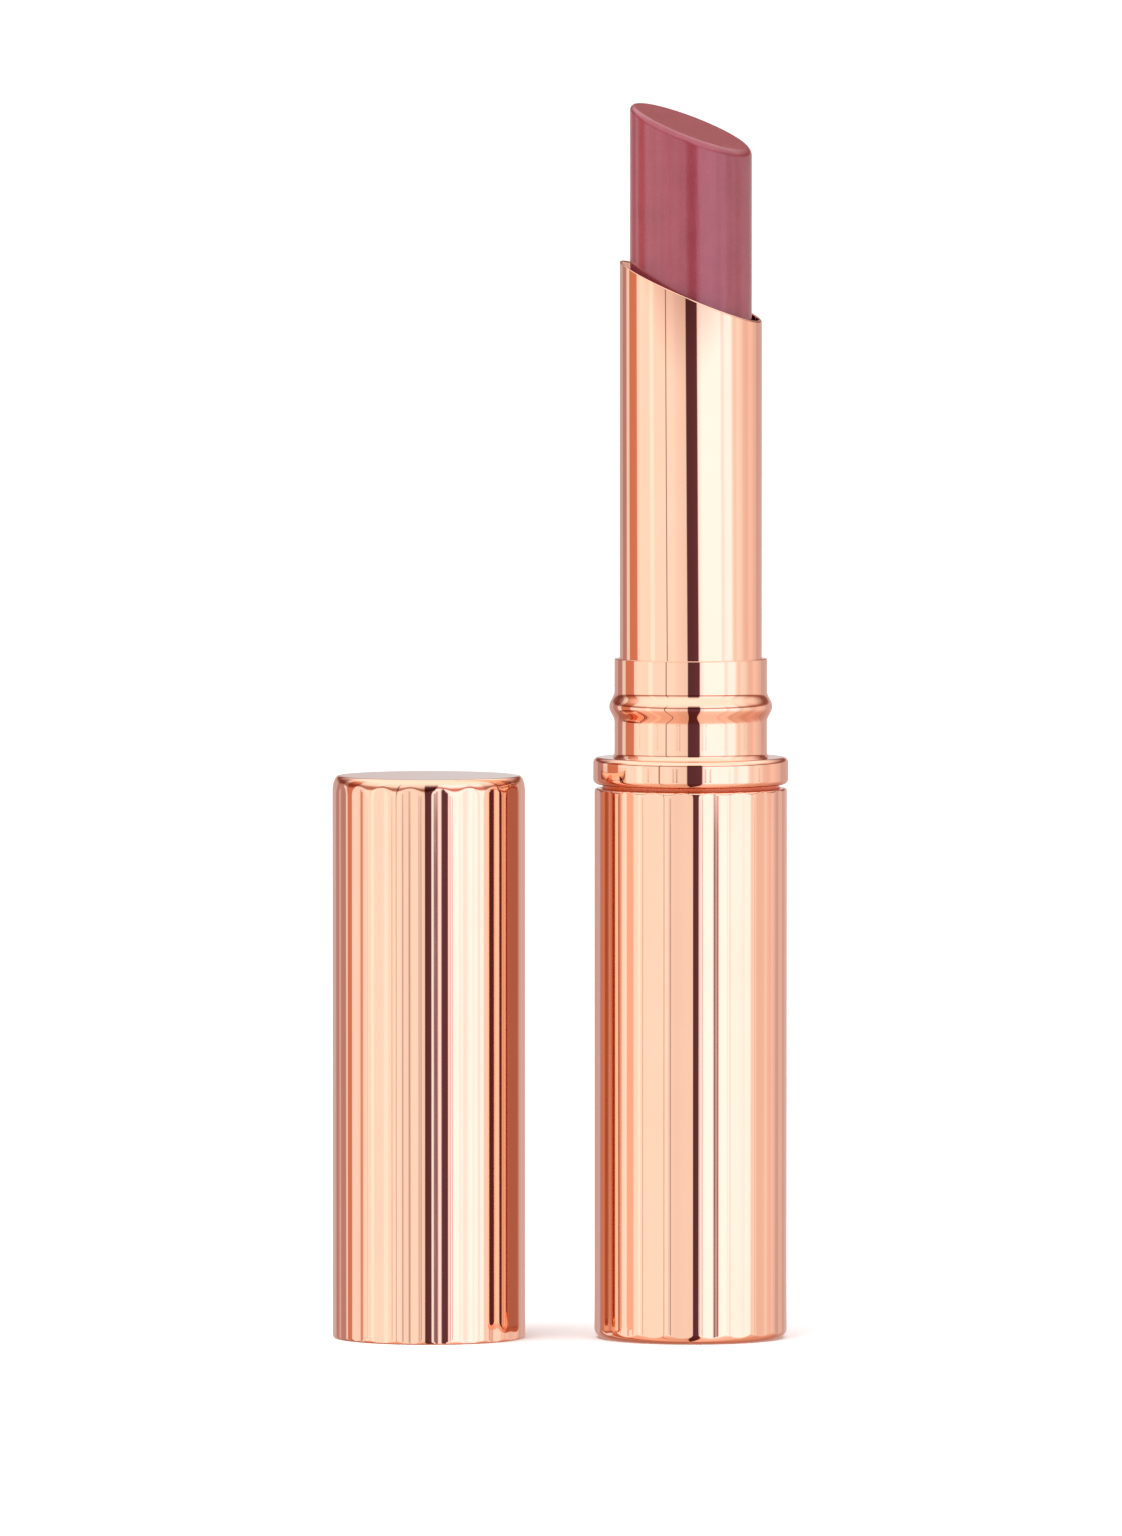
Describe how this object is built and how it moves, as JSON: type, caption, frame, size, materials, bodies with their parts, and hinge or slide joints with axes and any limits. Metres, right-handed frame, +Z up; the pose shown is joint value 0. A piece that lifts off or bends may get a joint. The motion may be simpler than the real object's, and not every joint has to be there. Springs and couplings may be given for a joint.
{
  "type": "lipstick case",
  "caption": "Slim fluted lipstick case: twist base, slanted sleeve and bullet out on a helical lift, and its push-on cap standing beside it.",
  "frame": {"origin": "centre of the base's foot, on the surface that the case stands on", "axes": "+Z up the case's axis towards the bullet; +X towards the low side of the slanted sleeve; the cap stands on the -X side"},
  "size_m": [0.0369, 0.0158, 0.1001],
  "materials": {
    "rose_gold": "mirror-polished and anodised rose gold",
    "rose_gold_satin": "satin anodised rose gold",
    "label_paper": "blank matt sticker",
    "weight_steel": "zinc-plated, barrel-tumbled",
    "clip_steel": "stamped spring steel",
    "liner_plastic": "moulded polypropylene, faintly waxy",
    "guide_plastic": "moulded acetal, greased",
    "carrier_plastic": "moulded acetal",
    "friction_silicone": "moulded silicone, greased",
    "lip_colour": "moulded wax and pigment, soft satin"
  },
  "bodies": {
    "base": {"base_shell": "rose_gold", "foot_plate": "rose_gold_satin", "shade_label": "label_paper", "base_weight": "weight_steel", "base_liner": "liner_plastic", "spiral": "guide_plastic", "thrust_washer": "guide_plastic"},
    "upper": {"middle_ring": "rose_gold", "collar": "rose_gold", "sleeve": "rose_gold", "slotted_tube": "guide_plastic", "tube_clip": "clip_steel", "friction_ring_upper": "friction_silicone", "friction_ring_lower": "friction_silicone"},
    "lift": {"carrier": "carrier_plastic", "bullet": "lip_colour"},
    "cap": {"cap_shell": "rose_gold", "cap_liner": "liner_plastic", "cap_weight": "weight_steel", "grip_ring": "guide_plastic"}
  },
  "joints": [
    {"name": "base_twist", "type": "hinge", "parent": "base", "child": "upper", "pos_m": [0, 0, 0.045], "axis": [0, 0, -1], "range_deg": [-360.2, 223.6]},
    {"name": "bullet_rise", "type": "slide", "parent": "upper", "child": "lift", "axis": [0, 0, 1], "range_m": [-0.0145, 0.009]},
    {"name": "cap_lift", "type": "slide", "parent": "base", "child": "cap", "axis": [0, 0, 1], "range_m": [0, 0.11]}
  ],
  "couplings": [
    {"joint": "base_twist", "follows": "bullet_rise", "rad_per_m": 433.32}
  ]
}
